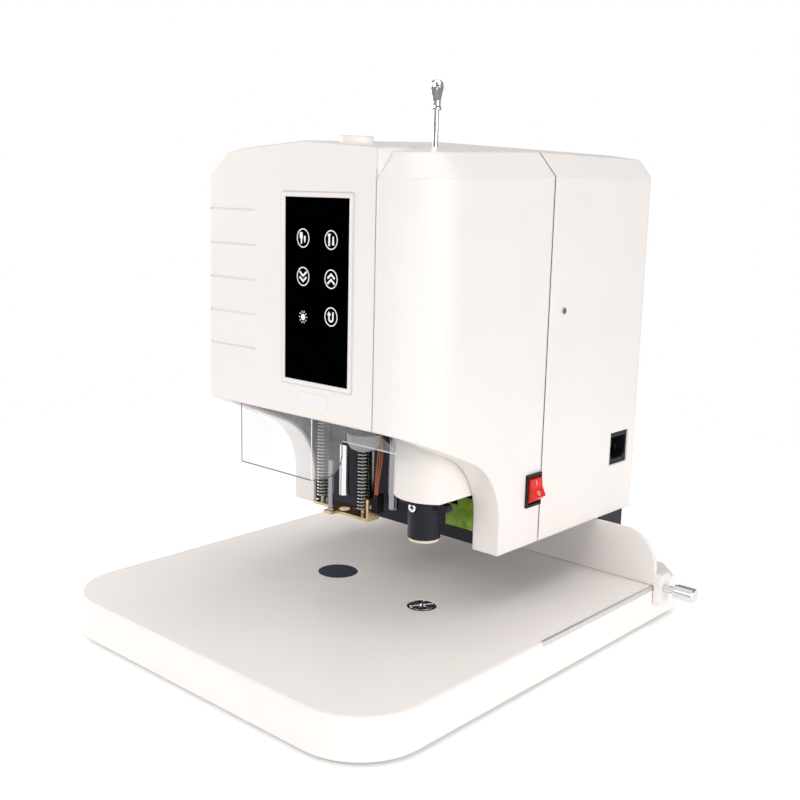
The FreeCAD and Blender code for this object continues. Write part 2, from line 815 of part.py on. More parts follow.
def make_drill():
    x = S.drill_x
    y = S.drill_y
    depth = (S.drill_head_front, S.drill_head_back)
    head = box((x - S.drill_head_half_width, x + S.drill_head_half_width), depth,
               (HEAD_BOTTOM, DRILL_HEAD_TOP))
    bridge = box((x - S.bridge_left, x + S.bridge_right), depth, (DRILL_HEAD_TOP, BRIDGE_TOP))
    through = BRIDGE_TOP - HEAD_BOTTOM + 2 * OVER
    low = HEAD_BOTTOM - OVER
    bores = [rod(S.spindle_radius + S.running_gap, through, x, y, low)]
    for rod_x, rod_y in PRESSER_RODS.values():
        bores.append(rod(S.rod_radius + S.running_gap, through, rod_x, rod_y, low))
    bores.append(rod(S.pin_radius + S.pin_notch_gap, through, S.pin_x, S.pin_y, low))
    keep("drill_carriage", cut(join(head, bridge, *carriage_rear(x, y)), *bores, *carriage_bores(x)))

    motor = rod(S.drill_motor_radius, S.drill_motor_length, x, y, BRIDGE_TOP)
    shaft_room = rod(S.motor_shaft_radius + S.running_gap, SHAFT_LENGTH + 2 * S.running_gap + OVER,
                     x, y, BRIDGE_TOP - OVER)
    keep("drill_motor", cut(motor, shaft_room))

    spindle_bottom = HEAD_BOTTOM + S.spindle_seat
    spindle_top = BRIDGE_TOP - S.spindle_seat
    spindle = rod(S.spindle_radius, spindle_top - spindle_bottom, x, y, spindle_bottom)
    shaft = rod(S.motor_shaft_radius, SHAFT_LENGTH + S.spindle_seat, x, y, spindle_top)
    seat = HEAD_BOTTOM + S.bit_seat
    bit_hole = rod(S.bit_radius, seat - spindle_bottom + OVER, x, y, spindle_bottom - OVER)
    keep("drill_spindle", cut(join(spindle, shaft), bit_hole))
    bit = rod(S.bit_radius, seat - S.bit_tip, x, y, S.bit_tip)
    keep("drill_bit", cut(bit, rod(S.bit_bore, seat - S.bit_tip + 2 * OVER, x, y, S.bit_tip - OVER)))


# Presser foot with its rods, springs, limit pin and sensor

def biarc(start, start_way, end, end_way):
    """Two arcs that leave start and reach end along the given directions."""
    chord = end - start
    ways = start_way + end_way
    a = ways.dot(ways) - 4
    b = -2 * chord.dot(ways)
    c = chord.dot(chord)
    root = math.sqrt(b * b - 4 * a * c)
    reach = max((-b - root) / (2 * a), (-b + root) / (2 * a))
    first = start + start_way * reach
    second = end - end_way * reach
    middle = (first + second) * 0.5
    edges = []
    radii = []
    for low, bend, high in ((start, first, middle), (middle, second, end)):
        half = (low + high) * 0.5
        drop = (half - bend).Length
        cosine = (high - low).Length / 2 / reach
        turn = math.acos(min(1.0, cosine))
        radius = reach / math.tan(turn)
        sagitta = radius / math.cos(turn) - radius
        peak = bend + (half - bend) * (sagitta / drop)
        edges.append(Part.Arc(low, peak, high).toShape())
        radii.append(radius)
    return edges, radii


def spring_path(radius, height, wire, turns, start_share):
    """Coil of half turns between two short straight ends, about the Z axis."""
    low = SPRING_END_SHARE * wire
    rise = height - 2 * low
    slope = rise / (2 * math.pi * turns)

    def at(angle):
        return Vector(radius * math.cos(angle), radius * math.sin(angle), low + slope * angle)

    def way(angle):
        direction = Vector(-radius * math.sin(angle), radius * math.cos(angle), slope)
        return direction.normalize()

    up = Vector(0, 0, 1)
    lead = 2 * math.pi * start_share
    foot = Vector(radius, 0, 0)
    foot_end = Vector(radius, 0, wire)
    edges = [Part.LineSegment(foot, foot_end).toShape()]
    radii = []
    entry_edges, entry_radii = biarc(foot_end, up, at(lead), way(lead))
    edges += entry_edges
    radii += entry_radii
    total = 2 * math.pi * turns
    angle = lead
    while angle < total - lead - SAME_PLACE:
        following = min(angle + math.pi, total - lead)
        more, more_radii = biarc(at(angle), way(angle), at(following), way(following))
        edges += more
        radii += more_radii
        angle = following
    end_low = Vector(radius * math.cos(total), radius * math.sin(total), height - wire)
    end_high = Vector(end_low.x, end_low.y, height)
    exit_edges, exit_radii = biarc(at(total - lead), way(total - lead), end_low, up)
    edges += exit_edges
    radii += exit_radii
    edges.append(Part.LineSegment(end_low, end_high).toShape())
    return Part.Wire(edges), radii


def swept(path, radius, start, way):
    """Round tube along a path."""
    circle = Part.Wire([Part.Circle(start, way, radius).toShape()])
    return path.makePipeShell([circle], True, False)


def spacing_along(path, wire):
    """Least gap between two stretches of a coiled tube that aren't neighbours along it."""
    step = wire * 0.5
    points = path.discretize(Distance=step)
    skip = int(4 * wire / step)
    cell = 2 * wire
    grid = {}
    least = None
    for number, point in enumerate(points):
        key = (int(point.x // cell), int(point.y // cell), int(point.z // cell))
        for dx in (-1, 0, 1):
            for dy in (-1, 0, 1):
                for dz in (-1, 0, 1):
                    for other in grid.get((key[0] + dx, key[1] + dy, key[2] + dz), ()):
                        if number - other > skip:
                            gap = (points[other] - point).Length - wire
                            least = gap if least is None else min(least, gap)
        grid.setdefault(key, []).append(number)
    return least


def make_presser():
    """Stepped foot: its right part lies further to the front than its left part."""
    x = S.drill_x
    left = x - S.presser_left
    right = x + S.presser_right
    tab_left = S.pin_x - S.presser_tab_half_width
    tab_right = S.pin_x + S.presser_tab_half_width
    heights = (S.presser_bottom, PRESSER_TOP)
    right_part = box((tab_left, right), (S.presser_front, S.presser_back), heights)
    left_part = box((left, x + S.presser_step), (S.presser_left_front, S.presser_left_back), heights)
    tab = box((tab_left, tab_right), (S.presser_tab_front, S.drill_y), heights)
    flange = box((right - S.presser_thickness, right), (S.presser_front, S.presser_back),
                 (S.presser_bottom, PRESSER_TOP + S.presser_flange_height))
    hole = rod(S.presser_hole, S.presser_thickness + 2 * OVER, x, S.drill_y, S.presser_bottom - OVER)
    keep("presser_plate", cut(join(right_part, left_part, tab, flange), hole))

    for name, (rod_x, rod_y) in PRESSER_RODS.items():
        keep("presser_rod_" + name, rod(S.rod_radius, S.rod_top - PRESSER_TOP, rod_x, rod_y, PRESSER_TOP))
        height = float(DRILL_HEAD_TOP - PRESSER_TOP)
        wire = float(S.spring_wire)
        path, radii = spring_path(float(S.spring_radius), height, wire, SPRING_TURNS, SPRING_START_SHARE)
        spring = doc.addObject("Part::Feature", "presser_spring_" + name)
        spring.Shape = swept(path, wire / 2, Vector(float(S.spring_radius), 0, 0), Vector(0, 0, 1))
        spring.Placement = Placement(Vector(float(rod_x), float(rod_y), float(PRESSER_TOP)), Rotation())
        keep("presser_spring_" + name, spring)
        whole = path.Length * math.pi * wire ** 2 / 4
        print(spring.Label, "least gap", round(spacing_along(path, wire), 2), "least radius",
              round(min(radii), 2), "volume share", round(spring.Shape.Volume / whole, 4))

    pin = rod(S.pin_radius, S.pin_top - PRESSER_TOP, S.pin_x, S.pin_y, PRESSER_TOP)
    collar = rod(S.pin_collar_radius, S.pin_collar_height, S.pin_x, S.pin_y, PRESSER_TOP)
    keep("limit_pin", join(pin, collar))

    sensor_top = S.sensor_bottom + S.sensor_height
    keep("sensor_block", box((right, right + S.sensor_width), (S.sensor_front, S.sensor_back),
                             (S.sensor_bottom, sensor_top)))
    make_leads(right + S.sensor_width / 2, S.sensor_front + S.lead_set_back, sensor_top)


def make_leads(x, y, z):
    """Three thin leads that rise from the sensor, sway and fan out, each of straight runs and arcs."""
    solids = []
    least = None
    rise = float(S.lead_top - z)
    radius = float(S.lead_radius)
    for number in (-1, 0, 1):
        start = Vector(float(x) + number * float(S.lead_spread), float(y), float(z))
        points = []
        for (height_share, sway_share), fan_share in zip(LEAD_SWAY_SHARES, LEAD_FAN_SHARES):
            sway = float(S.lead_bend) * sway_share
            fan = number * float(S.lead_fan) * fan_share
            points.append(start + Vector(sway + fan, 0, rise * height_share))
        edges, bends = rounded_route(points)
        least = min(bends + ([least] if least else []))
        solids.append(swept(Part.Wire(edges), radius, start, Vector(0, 0, 1)))
    leads = doc.addObject("Part::Feature", "sensor_leads")
    leads.Shape = Part.makeCompound(solids)
    keep("sensor_leads", leads)
    print("sensor_leads least radius", round(least, 2))


def rounded_route(points):
    """Straight runs joined by tangent arcs as large as the runs allow."""
    edges = []
    bends = []
    last = points[0]
    for before, corner, after in zip(points, points[1:], points[2:]):
        into = (corner - before).normalize()
        out = (after - corner).normalize()
        turn = into.getAngle(out)
        reach = 0.45 * min((corner - before).Length, (after - corner).Length)
        if turn < SAME_PLACE:
            continue
        radius = reach / math.tan(turn / 2)
        arc_start = corner - into * reach
        arc_end = corner + out * reach
        toward = ((arc_start + arc_end) * 0.5 - corner).normalize()
        peak = corner + toward * (radius / math.cos(turn / 2) - radius)
        edges.append(Part.LineSegment(last, arc_start).toShape())
        edges.append(Part.Arc(arc_start, peak, arc_end).toShape())
        bends.append(radius)
        last = arc_end
    edges.append(Part.LineSegment(last, points[-1]).toShape())
    return edges, bends


# Rivet unit

def make_rivet():
    x = S.rivet_x
    y = S.rivet_y
    boss = rod(S.boss_radius, WEB_TOP - HEAD_BOTTOM, x, y, HEAD_BOTTOM)
    bore = rod(S.press_bore, WEB_TOP - HEAD_BOTTOM + 2 * OVER, x, y, HEAD_BOTTOM - OVER)
    keep("rivet_carriage", cut(join(boss, *carriage_rear(x, y)), bore, *carriage_bores(x)))

    head = rod(S.press_head_radius, HEAD_BOTTOM - S.press_head_bottom, x, y, S.press_head_bottom)
    core = rod(S.press_bore, HEAD_BOTTOM - S.press_head_bottom + 2 * OVER, x, y, S.press_head_bottom - OVER)
    screw_x = x + S.clamp_screw_shift
    screw_front = y - S.press_head_radius
    screw_seat = rod(S.clamp_screw_radius / 2, S.clamp_screw_depth, screw_x, screw_front,
                     S.clamp_screw_height, "y")
    flat = box((screw_x - S.clamp_screw_radius, screw_x + S.clamp_screw_radius),
               (screw_front - OVER, screw_front + S.clamp_screw_head / 2),
               (S.clamp_screw_height - S.clamp_screw_radius, S.clamp_screw_height + S.clamp_screw_radius))
    keep("press_head", cut(head, core, screw_seat, flat))

    seat = screw_front + S.clamp_screw_head / 2
    screw_head = rod(S.clamp_screw_radius, S.clamp_screw_head, screw_x, seat - S.clamp_screw_head,
                     S.clamp_screw_height, "y")
    shank = rod(S.clamp_screw_radius / 2, S.clamp_screw_depth - S.clamp_screw_head / 2, screw_x, seat,
                S.clamp_screw_height, "y")
    keep("clamp_screw", join(screw_head, shank))

    tip = rod(S.tip_radius, S.press_head_bottom - S.tip_bottom, x, y, S.tip_bottom)
    keep("press_tip", cut(tip, rod(S.press_bore, S.press_head_bottom - S.tip_bottom + 2 * OVER, x, y,
                                   S.tip_bottom - OVER)))

    ring = rod(S.clamp_radius, S.clamp_height, x, y, S.clamp_bottom)
    half = S.lug_width / 2
    lug_top = S.clamp_bottom + S.lug_lap
    lug_bottom = lug_top - S.lug_height
    lug_left = x + S.press_head_radius / 2
    lug_right = x + S.lug_reach
    corners = [(lug_left, lug_bottom), (lug_right, lug_bottom), (lug_right, lug_top), (lug_left, lug_top)]
    lug = profile("y", corners, y - half, y + half, [((1, 2), S.lug_round)])
    bore = rod(S.press_head_radius + S.running_gap, S.clamp_height + S.lug_height + 2 * OVER, x, y,
               lug_bottom - OVER)
    keep("heater_clamp", cut(join(ring, lug), bore))

    make_shroud()


def make_shroud():
    inner = S.shroud_radius - S.shroud_wall
    right = S.head_half_width - S.leg_width - S.shroud_leg_gap
    outer = bent_sheet(S.shroud_radius, right, ZERO)
    core = bent_sheet(inner, right - S.shroud_wall, OVER)
    keep("rivet_shroud", cut(outer, core))


def bent_sheet(radius, right, more):
    """Round front with straight sides back to the wall, kept left of a flat right side."""
    x = S.shroud_x
    y = S.shroud_y
    low = S.shroud_bottom - more
    high = S.shroud_top + more
    whole = join(rod(radius, high - low, x, y, low),
                 box((x - radius, x + radius), (y, WALL_FRONT + more), (low, high)))
    keep_side = box((x - radius - OVER, right), (y - radius - OVER, WALL_FRONT + more + OVER), (low, high))
    return common(whole, keep_side)


# Middle post with the lamp

def make_lamp():
    post = rod(S.middle_post_radius, TOP_DECK_BOTTOM - S.middle_post_bottom,
               S.middle_post_x, S.middle_post_y, S.middle_post_bottom)
    keep("middle_post", rounded(post, S.middle_post_round, level(S.middle_post_bottom)))

    radius = S.lamp_radius
    rows = [(ZERO, ZERO)]
    rows += [(radius * out_share, S.lamp_height * up_share) for out_share, up_share in LAMP_SHARES]
    rows += [(radius, S.lamp_height), (ZERO, S.lamp_height)]
    keep("lamp", turned(rows, S.lamp_x, S.lamp_y, S.lamp_bottom))

    lamp_top = S.lamp_bottom + S.lamp_height
    half = S.bracket_width / 2
    arm = box((S.middle_post_x - half, S.middle_post_x + half), (S.lamp_y, S.middle_post_y),
              (lamp_top, lamp_top + S.bracket_thickness))
    collar = rod(half, S.bracket_thickness, S.middle_post_x, S.middle_post_y, lamp_top)
    seat = rod(S.lamp_radius - S.lamp_collar, S.bracket_thickness, S.lamp_x, S.lamp_y, lamp_top)
    hole = rod(S.middle_post_radius + S.running_gap, S.bracket_thickness + 2 * OVER,
               S.middle_post_x, S.middle_post_y, lamp_top - OVER)
    keep("lamp_bracket", cut(join(arm, collar, seat), hole))


# Covers

def roof_outline(inset, low):
    """Front view of the head above a low edge, with heights from the eaves, drawn in by an inset."""
    half = S.head_half_width - inset
    step = inset / 2
    hip = S.hip_rise - inset
    shoulder = hip + S.shoulder_rise
    return [(-half, low), (half, low), (half, -step), (half - S.hip_inset + step, hip),
            (half - S.shoulder_inset + step, shoulder), (ZERO, shoulder + S.crown_rise),
            (-half + S.shoulder_inset - step, shoulder), (-half + S.left_hip_inset - step, hip),
            (-half, -step)]


def plan_prism(inset, front, back, front_rounds=True, rear_rounds=True):
    half = S.head_half_width - inset
    rounds = []
    if front_rounds:
        rounds.append(((1,), S.head_corner_radius - inset))
        rounds.append(((0,), S.head_left_radius - inset))
    if rear_rounds:
        rounds.append(((2, 3), S.head_rear_radius - inset))
    return profile("z", [(-half, front), (half, front), (half, back), (-half, back)],
                   S.head_bottom - inset, CROWN + OVER, rounds)


def front_space(inset):
    """Space below the front roof, which leans to the front and runs around the right corner."""
    half = S.head_half_width - inset
    radius = S.head_corner_radius - inset
    corner_x = half - radius
    depth = S.head_seam - S.head_front
    corner_y = S.head_corner_radius - depth
    low = -4 * OVER
    prism = profile("y", roof_outline(inset, low), low - depth, -low)
    quarter = box((corner_x - inset, half + OVER), (low - depth - OVER, corner_y), (low - OVER, -low))
    hip = S.hip_rise - inset
    step = inset / 2
    flare = S.hip_inset - step
    share = (radius - flare) / (S.shoulder_inset - S.hip_inset)
    turn = turned([(ZERO, low), (radius + flare, low), (radius + flare, -S.hip_rise),
                   (radius - flare, hip), (ZERO, hip + S.shoulder_rise * share)],
                  corner_x, corner_y, ZERO)
    leaning = join(cut(prism, quarter), common(turn, quarter))
    leaning.Placement = Placement(Vector(), Rotation(Vector(1, 0, 0), float(S.roof_lean_angle)))
    place(leaning, ZERO, S.head_seam, EAVES)
    below = box((-half, half), (S.head_front + inset, S.head_seam - low),
                (S.head_bottom - inset, EAVES + low / 2))
    return join(leaning, below)


def arch_void(inset, half_width):
    """Space below the head and in front of the legs, as a body across the machine."""
    slope_angle = math.atan(float(S.arch_fall))
    centre_y = float(S.leg_back) - float(S.arch_radius)
    rise = float(S.arch_radius) / math.cos(slope_angle)
    centre_z = (float(S.nose_height) - (centre_y - float(S.head_front)) * math.tan(slope_angle)) - rise
    front = float(S.head_front) - float(OVER)
    bottom = float(S.head_bottom) - float(OVER)
    leg = float(S.leg_back) + float(inset)
    radius = float(S.arch_radius) + float(inset)
    tangent_y = centre_y + radius * math.sin(slope_angle)
    tangent_z = centre_z + radius * math.cos(slope_angle)
    front_z = tangent_z + (tangent_y - front) * math.tan(slope_angle)
    middle = (slope_angle + math.pi / 2) / 2
    arc = Part.Arc(Vector(0, tangent_y, tangent_z),
                   Vector(0, centre_y + radius * math.sin(middle), centre_z + radius * math.cos(middle)),
                   Vector(0, leg, centre_z)).toShape()
    points = [Vector(0, leg, centre_z), Vector(0, leg, bottom), Vector(0, front, bottom),
              Vector(0, front, front_z), Vector(0, tangent_y, tangent_z)]
    edges = [Part.LineSegment(a, b).toShape() for a, b in zip(points, points[1:])]
    face = Part.Face(Part.Wire(Part.__sortEdges__([arc] + edges)))
    solid = face.extrude(Vector(2 * float(half_width), 0, 0))
    obj = doc.addObject("Part::Feature", "arch_space")
    obj.Shape = solid
    obj.Placement = Placement(Vector(-float(half_width), 0, 0), Rotation())
    return obj


def screw_hole(x):
    length = S.side_thickness + 2 * OVER
    return rod(S.cover_screw_shank, length, x - OVER, S.cover_screw_y, S.cover_screw_z, "x")


def make_front_cover():
    wide = S.head_half_width + OVER
    shell = common(front_space(ZERO), plan_prism(ZERO, S.head_front, S.head_seam, rear_rounds=False))
    shell = cut(shell, arch_void(ZERO, wide))
    wall = S.cover_wall
    room = common(front_space(wall),
                  plan_prism(wall, S.head_front + wall, S.head_seam + OVER, rear_rounds=False))
    room = cut(room, arch_void(wall, wide))
    opening = arch_opening()
    tools = [room, opening, switch_opening(), panel_opening(), cap_seat(), rod_exit()]
    flat_end = S.head_half_width - S.head_corner_radius
    tools.append(box((flat_end - S.crease_width, flat_end),
                     (S.head_front - OVER, S.head_front + S.crease_depth), (S.head_bottom, EAVES)))
    groove_depth = (S.head_front - OVER, S.head_front + S.groove_depth)
    for number in range(COVER_GROOVES):
        low = EAVES - S.groove_below_eaves - number * S.groove_pitch
        tools.append(box((S.groove_left, S.groove_right), groove_depth, (low, low + S.groove_height)))
    keep("front_cover", cut(shell, *tools))


def arch_opening():
    """Opening between the two legs, through the skin of the arch but not through the front skin."""
    half = S.head_half_width - S.leg_width
    front = S.head_front + S.cover_wall
    between = box((-half, half), (front, WALL_FRONT + OVER), (S.head_bottom - OVER, S.nose_height + OVER))
    return common(between, plan_prism(S.cover_wall, front, S.head_seam + OVER, rear_rounds=False))


def switch_opening():
    half_width = S.switch_width / 2 - S.switch_lip
    half_height = S.switch_height / 2 - S.switch_lip
    return box((SIDE_OUTER - OVER, S.head_half_width + OVER),
               (S.switch_y - half_width, S.switch_y + half_width),
               (S.switch_z - half_height, S.switch_z + half_height))


def panel_opening():
    half = S.panel_width / 2 + S.frame_width
    return box((S.panel_x - half, S.panel_x + half), (S.head_front - OVER, S.head_front + S.panel_thickness),
               (PANEL_BOTTOM - S.frame_width, PANEL_TOP + S.frame_width))


def cap_seat():
    hole = rod(S.cap_plug_radius, S.cover_wall + 2 * OVER, S.cap_x, S.cap_y, CROWN - 3 * OVER)
    return join(hole, rod(S.cap_radius, S.cap_sink + OVER, S.cap_x, S.cap_y, CROWN - S.cap_sink))


def rod_exit():
    return rod(S.rod_hole_radius, S.cover_wall + 4 * OVER, S.rivet_x, S.rivet_y, CROWN - 3 * OVER)


def level_space(inset, front, back):
    space = profile("y", roof_outline(inset, S.head_bottom - EAVES - inset), front, back)
    place(space, ZERO, ZERO, EAVES)
    return space


def make_rear_cover():
    front = S.head_seam + S.seam_gap
    wall = S.cover_wall
    shell = common(level_space(ZERO, front, S.head_back),
                   plan_prism(ZERO, front, S.head_back, front_rounds=False))
    room = common(level_space(wall, front - OVER, S.head_back - wall),
                  plan_prism(wall, front - OVER, S.head_back - wall, front_rounds=False))
    half = S.inlet_size / 2
    inlet_hole = box((SIDE_OUTER - OVER, S.head_half_width + OVER), (S.inlet_y - half, S.inlet_y + half),
                     (S.inlet_z - half, S.inlet_z + half))
    keep("rear_cover", cut(shell, room, inlet_hole, screw_hole(SIDE_OUTER), screw_hole(-S.head_half_width)))


def make_cover_details():
    half = S.panel_width / 2
    edge = S.frame_width
    bottom = PANEL_BOTTOM
    top = PANEL_TOP
    back = S.head_front + S.panel_thickness
    ring = box((S.panel_x - half - edge, S.panel_x + half + edge), (S.head_front - S.frame_proud, back),
               (bottom - edge, top + edge))
    window = box((S.panel_x - half, S.panel_x + half), (S.head_front - OVER, back + OVER), (bottom, top))
    keep("panel_frame", cut(ring, window))
    keep("touch_panel", box((S.panel_x - half, S.panel_x + half), (S.head_front - S.panel_proud, back),
                            (bottom, top)))
    half_label = S.label_width / 2
    label_bottom = S.nose_height + S.label_above_nose
    keep("label_plate", box((S.label_x - half_label, S.label_x + half_label),
                            (S.head_front - S.label_thickness, S.head_front),
                            (label_bottom, label_bottom + S.label_height)))

    cap_base = CROWN - S.cap_sink
    cap = rod(S.cap_radius, S.cap_height, S.cap_x, S.cap_y, cap_base)
    plug = rod(S.cap_plug_radius, S.cover_wall, S.cap_x, S.cap_y, cap_base - S.cover_wall)
    keep("top_cap", join(cap, plug))

    screws = []
    depth = S.cover_wall + S.side_thickness
    for side in (-1, 1):
        out = side * S.head_half_width
        start = out if side > 0 else out - S.cover_screw_head
        screws.append(rod(S.cover_screw_radius, S.cover_screw_head, start, S.cover_screw_y,
                          S.cover_screw_z, "x"))
        shank_start = out - depth if side > 0 else out
        screws.append(rod(S.cover_screw_shank, depth, shank_start, S.cover_screw_y, S.cover_screw_z, "x"))
    keep("cover_screws", join(*screws))


# Clear guard in front of the drill, with the sloping screen beside it

def make_guard():
    front = S.head_front + S.cover_wall
    t = S.guard_thickness
    top = S.nose_height + S.guard_lap
    pane = box((S.guard_left, S.guard_right), (front, front + t), (S.guard_bottom, top))
    pieces = [pane]
    side_corners = [(front, S.guard_bottom), (S.guard_back, S.guard_bottom), (S.guard_back, S.guard_side_top),
                    (front, S.nose_height)]
    for low in (S.guard_left, S.guard_right - t):
        pieces.append(profile("x", side_corners, low, low + t, [((1,), S.guard_corner_radius)]))
    screen = [(front, top), (front, S.nose_height), (S.guard_back - t / 2, S.screen_back_height),
              (S.guard_back, S.screen_back_height + t / 2), (front + t, S.nose_height + t / 2),
              (front + t, top)]
    pieces.append(profile("x", screen, S.guard_right - t, S.screen_right))
    keep("clear_guard", join(*pieces))


# Clearing rod above the rivet station

def make_clearing_rod():
    x = S.rivet_x
    y = S.rivet_y
    sleeve = rod(S.sleeve_radius, S.sleeve_height, x, y, TOP_DECK_TOP)
    keep("rod_sleeve", cut(sleeve, rod(S.clear_rod_radius + S.running_gap, S.sleeve_height + 2 * OVER,
                                       x, y, TOP_DECK_TOP - OVER)))
    collar_low = TOP_DECK_TOP + S.sleeve_height - S.clear_rod_bottom
    collar_high = collar_low + S.rod_collar_height
    foot = CROWN + S.pear_above_crown - S.clear_rod_bottom
    high = S.pear_height
    shape = [
        (ZERO, ZERO), (S.clear_rod_radius, ZERO), (S.clear_rod_radius, collar_low),
        (S.rod_collar_radius, collar_low), (S.rod_collar_radius, collar_high),
        (S.clear_rod_radius, collar_high), (S.clear_rod_radius, foot), (S.pear_foot_radius, foot),
    ]
    radii = (S.pear_foot_radius, S.pear_waist_radius, S.pear_waist_radius)
    shape += [(radius, foot + high * up_share) for radius, up_share in zip(radii, PEAR_FOOT_SHARES)]
    shape += [(S.pear_top_radius * out_share, foot + high * up_share) for up_share, out_share in PEAR_SHARES]
    shape.append((ZERO, foot + high))
    keep("clearing_rod", turned(shape, x, y, S.clear_rod_bottom))


# Power switch and power inlet

def make_switch():
    face = S.head_half_width
    half_width = S.switch_width / 2
    half_height = S.switch_height / 2
    y = S.switch_y
    z = S.switch_z
    bezel = box((face, face + S.switch_bezel), (y - half_width, y + half_width),
                (z - half_height, z + half_height))
    body_half_width = half_width - S.switch_lip
    body_half_height = half_height - S.switch_lip
    body = box((face - S.switch_depth, face), (y - body_half_width, y + body_half_width),
               (z - body_half_height, z + body_half_height))
    room_half_width = half_width - S.switch_side_border
    room_half_height = half_height - S.switch_border
    room = box((face - S.switch_depth + S.switch_border, face + S.switch_bezel + OVER),
               (y - room_half_width, y + room_half_width), (z - room_half_height, z + room_half_height))
    pivot_x = face - S.rocker_pivot_depth
    pin_hole = rod(S.rocker_pin_radius + S.running_gap, S.switch_width + 2 * OVER, pivot_x,
                   y - half_width - OVER, z, "y")
    keep("switch_housing", cut(join(bezel, body), room, pin_hole))
    make_rocker(pivot_x, y, z, room_half_width - S.rocker_gap, room_half_height - S.rocker_gap)


def make_rocker(pivot_x, y, z, half_width, half_height):
    """Red button: two flats that meet at the pivot's height, drawn with the top half pressed in."""
    tilt = math.radians(float(S.rocker_tilt))
    half = float(half_height)
    shares = ROCKER_HALF_SHARES + tuple((out, -up) for out, up in reversed(ROCKER_HALF_SHARES[:-1]))
    turned_points = []
    for out, up in shares:
        turned_points.append(Vector(half * (out * math.cos(tilt) - up * math.sin(tilt)), 0,
                                    half * (out * math.sin(tilt) + up * math.cos(tilt))))
    wire = Part.makePolygon(turned_points + turned_points[:1])
    solid = Part.Face(wire).extrude(Vector(0, 2 * float(half_width), 0))
    solid.translate(Vector(0, -float(half_width), 0))
    pin_end = float(half_width + S.rocker_gap + S.rocker_pin_seat)
    pin = Part.makeCylinder(float(S.rocker_pin_radius), 2 * pin_end, Vector(0, -pin_end, 0), Vector(0, 1, 0))
    button = doc.addObject("Part::Feature", "rocker_button")
    button.Shape = solid.fuse(pin)
    button.Placement = Placement(Vector(float(pivot_x), float(y), float(z)), Rotation())
    keep("rocker_button", button)


def make_inlet():
    face = S.head_half_width - S.inlet_set_in
    half = S.inlet_size / 2
    y = S.inlet_y
    z = S.inlet_z
    body = box((face - S.inlet_depth, face), (y - half, y + half), (z - half, z + half))
    inner = half - S.inlet_border
    pocket_floor = face - S.inlet_depth + 2 * S.inlet_border
    low = z - inner * INLET_HEIGHT_SHARE
    high = z + inner * INLET_HEIGHT_SHARE
    slope = inner * INLET_CORNER_SHARE
    pocket = profile("x", [(y - inner, low + slope), (y - inner + slope, low), (y + inner - slope, low),
                           (y + inner, low + slope), (y + inner, high), (y - inner, high)],
                     pocket_floor, face + OVER)
    keep("inlet_socket", cut(body, pocket))
    pins = []
    for across, up in ((-1, -1), (0, 1), (1, -1)):
        pin_y = y + across * S.inlet_pin_spread
        pin_z = z + up * S.inlet_pin_height / 2
        pins.append(box((pocket_floor, pocket_floor + S.inlet_pin_length),
                        (pin_y - S.inlet_pin_width / 2, pin_y + S.inlet_pin_width / 2),
                        (pin_z - S.inlet_pin_height / 2, pin_z + S.inlet_pin_height / 2)))
    keep("inlet_pins", join(*pins))


# Electrics on the lower deck and the front wall

def make_electrics():
    depth = (WALL_FRONT - S.board_thickness, WALL_FRONT)
    step = S.board_left + S.board_low_width
    low_part = box((S.board_left, step), depth, (S.board_bottom, S.board_bottom + S.board_low_height))
    high_part = box((step, S.board_left + S.board_width), depth,
                    (S.board_bottom, S.board_bottom + S.board_height))
    keep("control_board", join(low_part, high_part))
    keep("power_supply", box((-S.supply_half_width, S.supply_half_width), (S.supply_front, S.supply_back),
                             (DECK_TOP, DECK_TOP + S.supply_height)))


make_base()
make_pad_and_die()
make_fence()
make_frame()
make_lift_drives()
make_drill()
make_presser()
make_rivet()
make_lamp()
make_front_cover()
make_rear_cover()
make_cover_details()
make_guard()
make_clearing_rod()
make_switch()
make_inlet()
make_electrics()
doc.recompute()

faults = [obj.Name for obj in doc.Objects if "Invalid" in obj.State or "Error" in obj.State]
for label, obj in NODES.items():
    shape = obj.Shape
    if shape.isNull() or not shape.isValid() or not shape.Solids:
        faults.append(label)
if faults:
    raise RuntimeError("Not built: " + ", ".join(faults))

os.makedirs("parts", exist_ok=True)
for label, obj in NODES.items():
    obj.Shape.exportStep("parts/%s.step" % label)
print(len(NODES), "pieces written")
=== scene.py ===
import json
import math

import bpy
from mathutils import Matrix, Vector


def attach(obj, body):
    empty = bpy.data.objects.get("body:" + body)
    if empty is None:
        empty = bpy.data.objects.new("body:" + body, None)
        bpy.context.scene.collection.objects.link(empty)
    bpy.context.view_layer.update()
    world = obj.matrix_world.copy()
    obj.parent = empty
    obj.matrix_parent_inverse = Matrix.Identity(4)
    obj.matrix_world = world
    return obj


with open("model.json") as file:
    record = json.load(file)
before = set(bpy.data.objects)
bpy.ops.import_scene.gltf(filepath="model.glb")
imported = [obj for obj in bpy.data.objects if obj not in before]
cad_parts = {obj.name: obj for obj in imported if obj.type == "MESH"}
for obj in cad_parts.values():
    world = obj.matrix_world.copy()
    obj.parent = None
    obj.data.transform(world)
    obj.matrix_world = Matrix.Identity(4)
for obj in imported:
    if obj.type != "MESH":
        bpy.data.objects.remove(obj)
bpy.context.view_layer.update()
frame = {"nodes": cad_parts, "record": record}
NODES = frame["nodes"]

# The part's origin is below the middle of the machine, this far from the base's own axes
ORIGIN = Vector((14.6, 179.5, 0.0))


def at(x, y, z):
    """Point of the machine, given in millimetres from the base's own axes."""
    return (Vector((x, y, z)) - ORIGIN) / 1000


def linear(red, green, blue):
    """Shader colour for a colour as the eye reads it, from 0 to 255."""
    values = []
    for part in (red, green, blue):
        share = part / 255
        values.append(share / 12.92 if share <= 0.04045 else ((share + 0.055) / 1.055) ** 2.4)
    return (*values, 1.0)


# Materials

